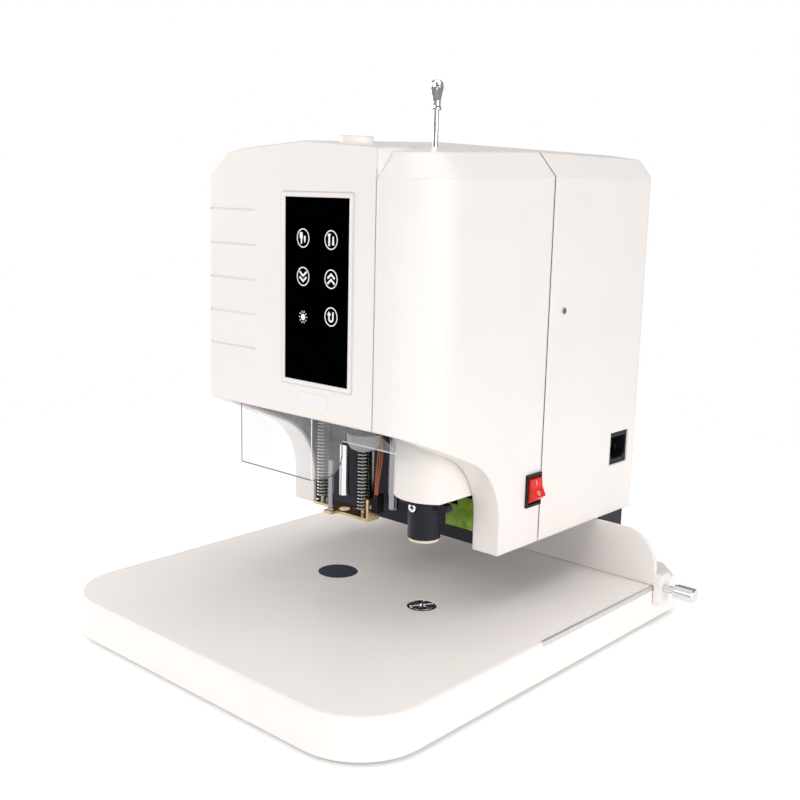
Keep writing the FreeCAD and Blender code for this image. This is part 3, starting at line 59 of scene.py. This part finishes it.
def material(name, color, roughness=0.4, metallic=0.0, bump=0.0, bump_scale=900.0, mottle=0.0,
             mottle_scale=60.0, edge=0.0, specular=0.5, stretch=(1, 1, 1), rough_spread=0.0):
    """Procedural surface: a colour with slight mottling, fine bumps and softened edges."""
    mat = bpy.data.materials.new(name)
    mat.use_nodes = True
    tree = mat.node_tree
    shader = tree.nodes["Principled BSDF"]
    shader.inputs["Base Color"].default_value = color
    shader.inputs["Roughness"].default_value = roughness
    shader.inputs["Metallic"].default_value = metallic
    shader.inputs["Specular IOR Level"].default_value = specular
    coords = tree.nodes.new("ShaderNodeTexCoord")
    mapping = tree.nodes.new("ShaderNodeMapping")
    mapping.inputs["Scale"].default_value = stretch
    tree.links.new(coords.outputs["Object"], mapping.inputs["Vector"])
    if mottle:
        noise = tree.nodes.new("ShaderNodeTexNoise")
        noise.inputs["Scale"].default_value = mottle_scale
        noise.inputs["Detail"].default_value = 4.0
        ramp = tree.nodes.new("ShaderNodeValToRGB")
        ramp.color_ramp.elements[0].position = 0.3
        ramp.color_ramp.elements[1].position = 0.7
        ramp.color_ramp.elements[0].color = tuple(c * (1 - mottle) for c in color[:3]) + (1.0,)
        ramp.color_ramp.elements[1].color = tuple(min(1.0, c * (1 + mottle)) for c in color[:3]) + (1.0,)
        tree.links.new(mapping.outputs["Vector"], noise.inputs["Vector"])
        tree.links.new(noise.outputs["Fac"], ramp.inputs["Fac"])
        tree.links.new(ramp.outputs["Color"], shader.inputs["Base Color"])
    normal = None
    if edge:
        bevel = tree.nodes.new("ShaderNodeBevel")
        bevel.samples = 8
        bevel.inputs["Radius"].default_value = edge
        normal = bevel.outputs["Normal"]
    if bump:
        grain = tree.nodes.new("ShaderNodeTexNoise")
        grain.inputs["Scale"].default_value = bump_scale
        grain.inputs["Detail"].default_value = 3.0
        bumps = tree.nodes.new("ShaderNodeBump")
        bumps.inputs["Strength"].default_value = bump
        bumps.inputs["Distance"].default_value = 0.0004
        tree.links.new(mapping.outputs["Vector"], grain.inputs["Vector"])
        tree.links.new(grain.outputs["Fac"], bumps.inputs["Height"])
        if normal:
            tree.links.new(normal, bumps.inputs["Normal"])
        normal = bumps.outputs["Normal"]
    if normal:
        tree.links.new(normal, shader.inputs["Normal"])
    if rough_spread:
        wear = tree.nodes.new("ShaderNodeTexNoise")
        wear.inputs["Scale"].default_value = bump_scale * 0.2
        spread = tree.nodes.new("ShaderNodeMapRange")
        spread.inputs["To Min"].default_value = max(0.02, roughness - rough_spread)
        spread.inputs["To Max"].default_value = min(1.0, roughness + rough_spread)
        tree.links.new(mapping.outputs["Vector"], wear.inputs["Vector"])
        tree.links.new(wear.outputs["Fac"], spread.inputs["Value"])
        tree.links.new(spread.outputs["Result"], shader.inputs["Roughness"])
    return mat


def clear_material(name, color, roughness, alpha):
    """Smooth clear plastic."""
    mat = bpy.data.materials.new(name)
    mat.use_nodes = True
    shader = mat.node_tree.nodes["Principled BSDF"]
    shader.inputs["Base Color"].default_value = color
    shader.inputs["Roughness"].default_value = roughness
    shader.inputs["IOR"].default_value = 1.45
    shader.inputs["Alpha"].default_value = alpha
    shader.inputs["Specular IOR Level"].default_value = 0.6
    mat.surface_render_method = "BLENDED"
    return mat


WHITE = linear(240, 234, 230)
LOOKS = {
    "cover": material("cover", WHITE, 0.34, bump=0.04, bump_scale=700, mottle=0.012, mottle_scale=25,
                      edge=0.0022),
    "body_paint": material("body_paint", WHITE, 0.4, bump=0.05, bump_scale=1100, mottle=0.012,
                           mottle_scale=25, edge=0.0008),
    "black_steel": material("black_steel", linear(22, 22, 36), 0.45, bump=0.06, mottle=0.15,
                            specular=0.3, edge=0.0004),
    "machined_steel": material("machined_steel", linear(212, 212, 214), 0.3, metallic=1.0, bump=0.08,
                               stretch=(1, 1, 0.05), rough_spread=0.08, edge=0.0003),
    "aluminium": material("aluminium", linear(178, 179, 182), 0.36, metallic=1.0, bump=0.1, bump_scale=1400,
                          rough_spread=0.08, edge=0.0003),
    "chrome": material("chrome", linear(226, 226, 229), 0.12, metallic=1.0, bump=0.02, rough_spread=0.04,
                       edge=0.0003),
    "spring_steel": material("spring_steel", linear(178, 175, 170), 0.2, metallic=1.0, bump=0.04,
                             mottle=0.06, rough_spread=0.06),
    "yellow_zinc": material("yellow_zinc", linear(208, 184, 138), 0.2, metallic=1.0, mottle=0.12,
                            mottle_scale=180, bump=0.05, rough_spread=0.08, edge=0.0003),
    "black_plastic": material("black_plastic", linear(24, 24, 32), 0.46, bump=0.12, bump_scale=1600,
                              mottle=0.08, specular=0.3, edge=0.0004),
    "pad_plastic": material("pad_plastic", linear(38, 44, 66), 0.5, bump=0.1, bump_scale=900, mottle=0.2,
                            mottle_scale=240, specular=0.3, edge=0.0003),
    "panel_glass": material("panel_glass", linear(1, 1, 2), 0.3, mottle=0.1, specular=0.0),
    "lamp_diffuser": material("lamp_diffuser", linear(160, 161, 166), 0.42, mottle=0.05, bump=0.05,
                              edge=0.0003),
    "red_plastic": material("red_plastic", linear(222, 44, 38), 0.2, mottle=0.05, bump=0.02, edge=0.0004),
    "rubber": material("rubber", linear(38, 38, 39), 0.75, bump=0.2, mottle=0.1),
    "brass": material("brass", linear(104, 90, 66), 0.4, metallic=1.0, bump=0.04, mottle=0.05),
    "circuit_green": material("circuit_green", linear(118, 150, 46), 0.35, mottle=0.45, mottle_scale=140,
                              bump=0.1),
    "lead_orange": material("lead_orange", linear(172, 94, 56), 0.45, mottle=0.12, bump=0.03),
    "cream_plastic": material("cream_plastic", linear(226, 214, 196), 0.5, mottle=0.04, bump=0.05),
    "label": material("label", linear(238, 236, 236), 0.28, mottle=0.01, edge=0.0002),
    "clear_plastic": clear_material("clear_plastic", linear(236, 240, 243), 0.04, 0.12),
}
EXTRA = {
    "icon_white": material("icon_white", linear(245, 245, 246), 0.4, mottle=0.01),
    "solder": material("solder", linear(188, 186, 180), 0.35, metallic=1.0, mottle=0.1),
    # Near black for the screw recesses and the cover seam: painted shade
    "painted_shade_slot": material("painted_shade_slot", linear(16, 16, 18), 0.7, mottle=0.1),
    # Darker copy of chrome for the bars inside the head: painted shade
    "post_chrome_painted_shade": material("post_chrome_painted_shade", linear(150, 150, 156), 0.2, metallic=1.0, bump=0.02,
                            rough_spread=0.04, edge=0.0003),
    "paint_mark": material("paint_mark", linear(244, 206, 200), 0.45, mottle=0.01),
    # Grey and near white strips on the guard's edges: painted shade and painted highlight
    "rim_painted_shade": material("rim_painted_shade", linear(112, 112, 122), 0.2, mottle=0.05),
    "rim_painted_highlight": material("rim_painted_highlight", linear(236, 238, 242), 0.15, mottle=0.02),
}

for entry in frame["record"]["subparts"]:
    node = NODES[entry["node"]]
    surface = LOOKS[entry["material_slot"]]
    for place in node.material_slots:
        place.material = surface
    if not node.material_slots:
        node.data.materials.append(surface)

# Bars inside the head get a darker copy of chrome: painted shade standing in for the dark frame around them
# that they reflect
for name in ("middle_post", "limit_pin", "presser_rod_left", "presser_rod_right"):
    NODES[name].material_slots[0].material = EXTRA["post_chrome_painted_shade"]


# Mesh helpers

def piece(name, vertices, faces, mat, body, slot):
    """New mesh that rides on a body and carries a material."""
    mesh = bpy.data.meshes.new(name)
    mesh.from_pydata([tuple(v) for v in vertices], [], faces)
    mesh.validate()
    mesh.update()
    mesh.materials.append(mat)
    obj = bpy.data.objects.new(name, mesh)
    bpy.context.collection.objects.link(obj)
    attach(obj, body)


def slab(outline, origin, across, up, out, thickness):
    """Vertices and faces of a flat piece with the given outline, in millimetres on a face."""
    vertices = []
    for depth in (0.0, thickness):
        for a, b in outline:
            vertices.append((Vector(origin) + Vector(across) * a + Vector(up) * b + Vector(out) * depth
                             - ORIGIN) / 1000)
    count = len(outline)
    faces = [tuple(range(count))[::-1], tuple(range(count, 2 * count))]
    faces += [(i, (i + 1) % count, count + (i + 1) % count, count + i) for i in range(count)]
    return vertices, faces


def ring_band(outer, inner, origin, across, up, out, thickness):
    """Flat band between two outlines with the same number of points."""
    vertices = []
    for depth in (0.0, thickness):
        for outline in (outer, inner):
            for a, b in outline:
                vertices.append((Vector(origin) + Vector(across) * a + Vector(up) * b
                                 + Vector(out) * depth - ORIGIN) / 1000)
    n = len(outer)
    faces = []
    for i in range(n):
        j = (i + 1) % n
        faces.append((i, n + i, n + j, j))
        faces.append((2 * n + i, 2 * n + j, 3 * n + j, 3 * n + i))
        faces.append((i, j, 2 * n + j, 2 * n + i))
        faces.append((n + i, 3 * n + i, 3 * n + j, n + j))
    return vertices, faces


def merged(pieces):
    """Vertices and faces of several parts as one mesh."""
    vertices = []
    faces = []
    for more_vertices, more_faces in pieces:
        base = len(vertices)
        vertices += more_vertices
        faces += [tuple(base + index for index in face) for face in more_faces]
    return vertices, faces


def oval(half_width, half_height, count=36):
    return [(half_width * math.cos(2 * math.pi * i / count),
             half_height * math.sin(2 * math.pi * i / count)) for i in range(count)]


def stroke(points, width):
    """Outline of a line of constant width through the points."""
    left = []
    right = []
    for i, (x, y) in enumerate(points):
        before = points[max(0, i - 1)]
        after = points[min(len(points) - 1, i + 1)]
        way = Vector((after[0] - before[0], after[1] - before[1]))
        way.normalize()
        reach = width / 2
        if 0 < i < len(points) - 1:
            first = Vector((x - before[0], y - before[1])).normalized()
            reach /= max(0.5, abs(first.dot(way)))
        left.append((x - way.y * reach, y + way.x * reach))
        right.append((x + way.y * reach, y - way.x * reach))
    return left + right[::-1]


# Marks on the touch panel: plain pictograms, each in an oval, and a sun
# Lengths from here on are millimetres from the base's own axes

PANEL_FRONT = 96.8
ICON_LIFT = 0.12
LEFT_COLUMN = -1.1
RIGHT_COLUMN = 24.4
ARROW_ROW = 253.0


def on_panel(outline, x, z):
    return slab(outline, (x, PANEL_FRONT, z), (1, 0, 0), (0, 0, 1), (0, -1, 0), ICON_LIFT)


def band_on_panel(outer, inner, x, z):
    return ring_band(outer, inner, (x, PANEL_FRONT, z), (1, 0, 0), (0, 0, 1), (0, -1, 0), ICON_LIFT)


def frame_mark(x, z):
    return band_on_panel(oval(5.75, 6.1), oval(5.1, 5.4), x, z)


def drill_mark(x, z):
    return [frame_mark(x, z),
            on_panel([(-2.9, 3.6), (-0.6, 3.6), (-0.3, 0.6), (-0.9, -1.0), (-0.9, -3.6), (-2.1, -3.6),
                      (-2.1, -1.0), (-3.1, 0.6)], x, z),
            on_panel([(0.9, 1.4), (2.3, 1.4), (2.3, -1.4), (1.9, -2.8), (1.3, -2.8), (0.9, -1.4)], x, z)]


def rivet_mark(x, z):
    return [frame_mark(x, z),
            on_panel([(-3.0, 3.8), (-0.5, 3.8), (-0.5, 2.4), (-1.0, 2.4), (-1.0, -3.8), (-2.4, -3.8),
                      (-2.4, 2.4), (-3.0, 2.4)], x, z),
            on_panel([(1.3, 2.2), (2.3, 2.2), (2.7, -3.2), (0.9, -3.2)], x, z)]


def arrow_mark(x, z, way):
    pieces = [frame_mark(x, z)]
    for shift in (-2.0, 1.4):
        low = shift * way - 1.1 * way
        high = shift * way + 1.6 * way
        points = [(-3.2, low), (0.0, high), (3.2, low)]
        pieces.append(on_panel(stroke(points, 1.25), x, z))
    return pieces


def sun_mark(x, z):
    pieces = [on_panel(oval(1.9, 2.1, 24), x, z)]
    for number in range(10):
        angle = 2 * math.pi * number / 10
        near = (2.7 * math.cos(angle), 2.9 * math.sin(angle))
        far = (3.8 * math.cos(angle), 4.1 * math.sin(angle))
        pieces.append(on_panel(stroke([near, far], 0.5), x, z))
    return pieces


def reset_mark(x, z):
    """Turned-back arrow."""
    pieces = [frame_mark(x, z)]
    arc = [(1.75 * math.cos(math.radians(angle)), -1.2 + 1.75 * math.sin(math.radians(angle)))
           for angle in range(180, 361, 20)]
    pieces.append(on_panel(stroke([(-1.75, 1.0)] + arc + [(1.75, 3.0)], 1.2), x, z))
    pieces.append(on_panel([(-3.5, 0.9), (0.0, 0.9), (-1.75, 3.4)], x, z))
    return pieces


marks = drill_mark(-1.3, 277.3) + rivet_mark(24.1, 277.2)
marks += arrow_mark(LEFT_COLUMN, ARROW_ROW, -1) + arrow_mark(RIGHT_COLUMN, ARROW_ROW, 1)
marks += sun_mark(-0.9, 227.0) + reset_mark(24.7, 229.4)
piece("panel_marks", *merged(marks), EXTRA["icon_white"], "machine_frame", "label")


# Marks on the rocker switch, on its two slopes

ROCKER_PIVOT = Vector((96.8, 219.4, 108.6))
ROCKER_HALF = 9.3
ROCKER_TILT = 17.0
ROCKER_MARK_LIFT = 0.08


def rocker_face(way):
    """Place and directions of the upper (1) or lower (-1) slope of the rocker at rest."""
    half = ROCKER_HALF
    turn = Matrix.Rotation(-math.radians(ROCKER_TILT), 3, "Y")
    valley = turn @ Vector((0.69 * half, 0, 0))
    tip = turn @ Vector((0.81 * half, 0, 0.69 * half * way))
    along = (tip - valley).normalized() * way
    out = Vector((0, 1, 0)).cross(along)
    return ROCKER_PIVOT + valley + (tip - valley) * 0.56, along, out


def rocker_marks():
    pieces = []
    bar = [(-0.3, -1.5), (0.3, -1.5), (0.3, 1.5), (-0.3, 1.5)]
    place, along, out = rocker_face(1)
    pieces.append(slab(bar, place, (0, 1, 0), along, out, ROCKER_MARK_LIFT))
    place, along, out = rocker_face(-1)
    pieces.append(ring_band(oval(1.5, 1.6, 24), oval(1.0, 1.1, 24), place, (0, 1, 0), along, out,
                            ROCKER_MARK_LIFT))
    return pieces


piece("rocker_marks", *merged(rocker_marks()), EXTRA["paint_mark"], "power_rocker", "label")


# Cross recesses in the screw heads, drawn as thin dark slabs on the heads: painted shade

def cross(place, across, up, out, size, width, depth):
    bars = []
    for a, b in ((size, width), (width, size)):
        bars.append(slab([(-a, -b), (a, -b), (a, b), (-a, b)], place, across, up, out, depth))
    return bars


crosses = []
for side in (1, -1):
    crosses += cross((side * 100.2, 246.0, 230.2), (0, 1, 0), (0, 0, 1), (side, 0, 0), 1.5, 0.28, 0.04)
piece("cover_screw_slots", *merged(crosses), EXTRA["painted_shade_slot"], "machine_frame", "black_plastic")
clamp = cross((54.6, 144.6, 101.5), (1, 0, 0), (0, 0, 1), (0, -1, 0), 1.7, 0.55, 0.05)
piece("clamp_screw_slot", *merged(clamp), EXTRA["painted_shade_slot"], "rivet_carriage", "black_plastic")


# Screw on the sensor block and the small parts on the control board

def disc(place, across, up, out, radius, thickness, count=28):
    return slab(oval(radius, radius, count), place, across, up, out, thickness)


sensor = [disc((6.3, 157.0, 89.0), (0, 1, 0), (0, 0, 1), (1, 0, 0), 1.6, 0.7)]
piece("sensor_screw", *merged(sensor), LOOKS["chrome"], "presser", "chrome")
# Dark cross on the sensor screw: painted shade of its recess
sensor_cross = cross((7.0, 157.0, 89.0), (0, 1, 0), (0, 0, 1), (1, 0, 0), 1.0, 0.2, 0.04)
piece("sensor_screw_slot", *merged(sensor_cross), EXTRA["painted_shade_slot"], "presser", "black_plastic")

BOARD_FRONT = 182.5
SOLDER_PLACES = ((55.5, 84.0), (58.5, 84.0), (61.5, 84.0), (65.5, 84.2), (68.5, 84.2), (76.2, 90.5),
                 (76.2, 93.5), (66.0, 102.2), (69.0, 102.2))
solder = [disc((x, BOARD_FRONT, z), (1, 0, 0), (0, 0, 1), (0, -1, 0), 0.4, 0.3, 12)
          for x, z in SOLDER_PLACES]
piece("board_solder", *merged(solder), EXTRA["solder"], "machine_frame", "chrome")


# Dark strip inside the seam between the two covers: painted shade in the gap

HEAD_HALF = 99.0
HEAD_LOW = 72.0
EAVES = 320.0
HIP = 335.3
SHOULDER = 338.6
CROWN = 342.9
RIGHT_HIP_INSET = 13.5
LEFT_HIP_INSET = 21.0
SHOULDER_INSET = 39.0
SEAM_FRONT = 228.6
SEAM_WIDTH = 0.8


def head_outline(inset):
    """Front view of the head, drawn in by an inset."""
    half = HEAD_HALF - inset
    low = HEAD_LOW + inset
    eaves = EAVES - inset / 2
    hip = HIP - inset
    shoulder = SHOULDER - inset
    return [(-half, low), (half, low), (half, eaves), (half - RIGHT_HIP_INSET, hip),
            (half - SHOULDER_INSET, shoulder), (0.0, CROWN - inset), (SHOULDER_INSET - half, shoulder),
            (LEFT_HIP_INSET - half, hip), (-half, eaves)]


seam = ring_band(head_outline(0.02), head_outline(1.8), (0, SEAM_FRONT, 0), (1, 0, 0), (0, 0, 1), (0, 1, 0),
                 SEAM_WIDTH)
piece("seam_line", *seam, EXTRA["painted_shade_slot"], "machine_frame", "black_plastic")


# Edges of the clear guard, where thick clear sheet looks dark or bright: thin strips with painted shade and
# painted highlights

EDGE_LIFT = 0.12
PANE_LEFT = -65.6
PANE_LOW = 118.9
PANE_HIGH = 160.5
SIDE_BEND = 14.0
SIDE_BEND_Y = 113.0
SIDE_BEND_Z = 132.5


def edge_strip(points, width, place, across, up, out):
    return slab(stroke(points, width), place, across, up, out, EDGE_LIFT)


front_axes = ((0, 99.35, 0), (1, 0, 0), (0, 0, 1), (0, -1, 0))
side_axes = ((6.12, 0, 0), (0, 1, 0), (0, 0, 1), (1, 0, 0))
screen_axes = ((0, 127.2, 0), (1, 0, 0), (0, 0, 1), (0, -1, 0))
bend = [(SIDE_BEND_Y + SIDE_BEND * math.sin(math.radians(angle)),
         SIDE_BEND_Z - SIDE_BEND * math.cos(math.radians(angle))) for angle in range(0, 91, 15)]
# Grey strips on the guard's edges: painted shade
painted_shade_strips = [edge_strip([(PANE_LEFT, 118.6), (PANE_LEFT, PANE_HIGH)], 0.9, *front_axes),
              edge_strip([(PANE_LEFT, PANE_LOW), (5.0, PANE_LOW)], 0.9, *front_axes),
              edge_strip([(100.0, PANE_LOW)] + bend + [(126.6, 141.0)], 0.9, *side_axes)]
piece("guard_painted_shade_edges", *merged(painted_shade_strips), EXTRA["rim_painted_shade"], "machine_frame", "clear_plastic")
# Near white strips on the guard's edges: painted highlights
painted_highlight_strips = [edge_strip([(5.3, 119.5), (5.3, PANE_HIGH)], 0.8, *front_axes),
               edge_strip([(6.5, 141.2), (57.5, 141.2)], 0.8, *screen_axes)]
piece("guard_painted_highlight_edges", *merged(painted_highlight_strips), EXTRA["rim_painted_highlight"], "machine_frame", "clear_plastic")


# Light, floor and camera; the lights and the floor are in metres from the part's origin

def area_light(name, place, aim, size, power):
    """Rectangular lamp that points from its place to its aim."""
    light = bpy.data.lights.new(name, "AREA")
    light.shape = "RECTANGLE"
    light.size, light.size_y = size
    light.energy = power
    obj = bpy.data.objects.new(name, light)
    obj.location = place
    obj.rotation_euler = (Vector(aim) - Vector(place)).to_track_quat("-Z", "Y").to_euler()
    bpy.context.collection.objects.link(obj)


area_light("key_light", (-0.25, -1.78, 1.15), (0, 0, 0.08), (1.6, 1.2), 15)
area_light("right_light", (2.0, -0.3, 0.62), (0, 0, 0.08), (1.8, 1.0), 23)
area_light("left_light", (-2.0, -0.2, 0.62), (0, 0, 0.08), (1.8, 1.0), 26)
area_light("top_light", (0.1, 0.3, 2.2), (0, 0, 0.1), (1.8, 1.8), 17)

world = bpy.data.worlds.new("studio")
world.use_nodes = True
sky = world.node_tree.nodes["Background"]
sky.inputs["Color"].default_value = (1, 1, 1, 1)
seen = world.node_tree.nodes.new("ShaderNodeLightPath")
strength = world.node_tree.nodes.new("ShaderNodeMapRange")
strength.inputs["To Min"].default_value = 0.32
strength.inputs["To Max"].default_value = 1.0
world.node_tree.links.new(seen.outputs["Is Camera Ray"], strength.inputs["Value"])
world.node_tree.links.new(strength.outputs["Result"], sky.inputs["Strength"])
bpy.context.scene.world = world
bpy.context.scene.view_settings.view_transform = "Standard"

FLOOR_REACH = 0.8
floor_corners = [(FLOOR_REACH * x, FLOOR_REACH * y, 0) for x, y in ((-1, -1), (1, -1), (1, 1), (-1, 1))]
floor_mesh = bpy.data.meshes.new("floor")
floor_mesh.from_pydata(floor_corners, [], [(0, 1, 2, 3)])
floor = bpy.data.objects.new("floor", floor_mesh)
bpy.context.collection.objects.link(floor)
floor_look = material("floor", linear(250, 250, 250), 0.9, mottle=0.004)
floor_shader = floor_look.node_tree.nodes["Principled BSDF"]
floor_shader.inputs["Emission Color"].default_value = (1, 1, 1, 1)
floor_shader.inputs["Emission Strength"].default_value = 0.2
floor_mesh.materials.append(floor_look)

SENSOR = 36.0
FOCAL_SHARE = 1069.35 / 800
CAMERA_PLACE = (502.98, -372.83, 307.38)
camera_data = bpy.data.cameras.new("camera")
camera_data.sensor_width = SENSOR
camera_data.lens = SENSOR * FOCAL_SHARE
camera_data.clip_start = 0.05
camera_data.clip_end = 30.0
camera = bpy.data.objects.new("camera", camera_data)
bpy.context.collection.objects.link(camera)

# The camera's angles, in radians
azimuth = 0.728
elevation = 0.192
roll = 0.024
look = Vector((-math.sin(azimuth) * math.cos(elevation), math.cos(azimuth) * math.cos(elevation),
               -math.sin(elevation)))
right = look.cross(Vector((0, 0, 1))).normalized()
up = right.cross(look)
right_rolled = math.cos(roll) * right + math.sin(roll) * up
up_rolled = -math.sin(roll) * right + math.cos(roll) * up
turn = Matrix((right_rolled, up_rolled, -look)).transposed()
camera.matrix_world = Matrix.Translation(at(*CAMERA_PLACE)) @ turn.to_4x4()
bpy.context.scene.camera = camera
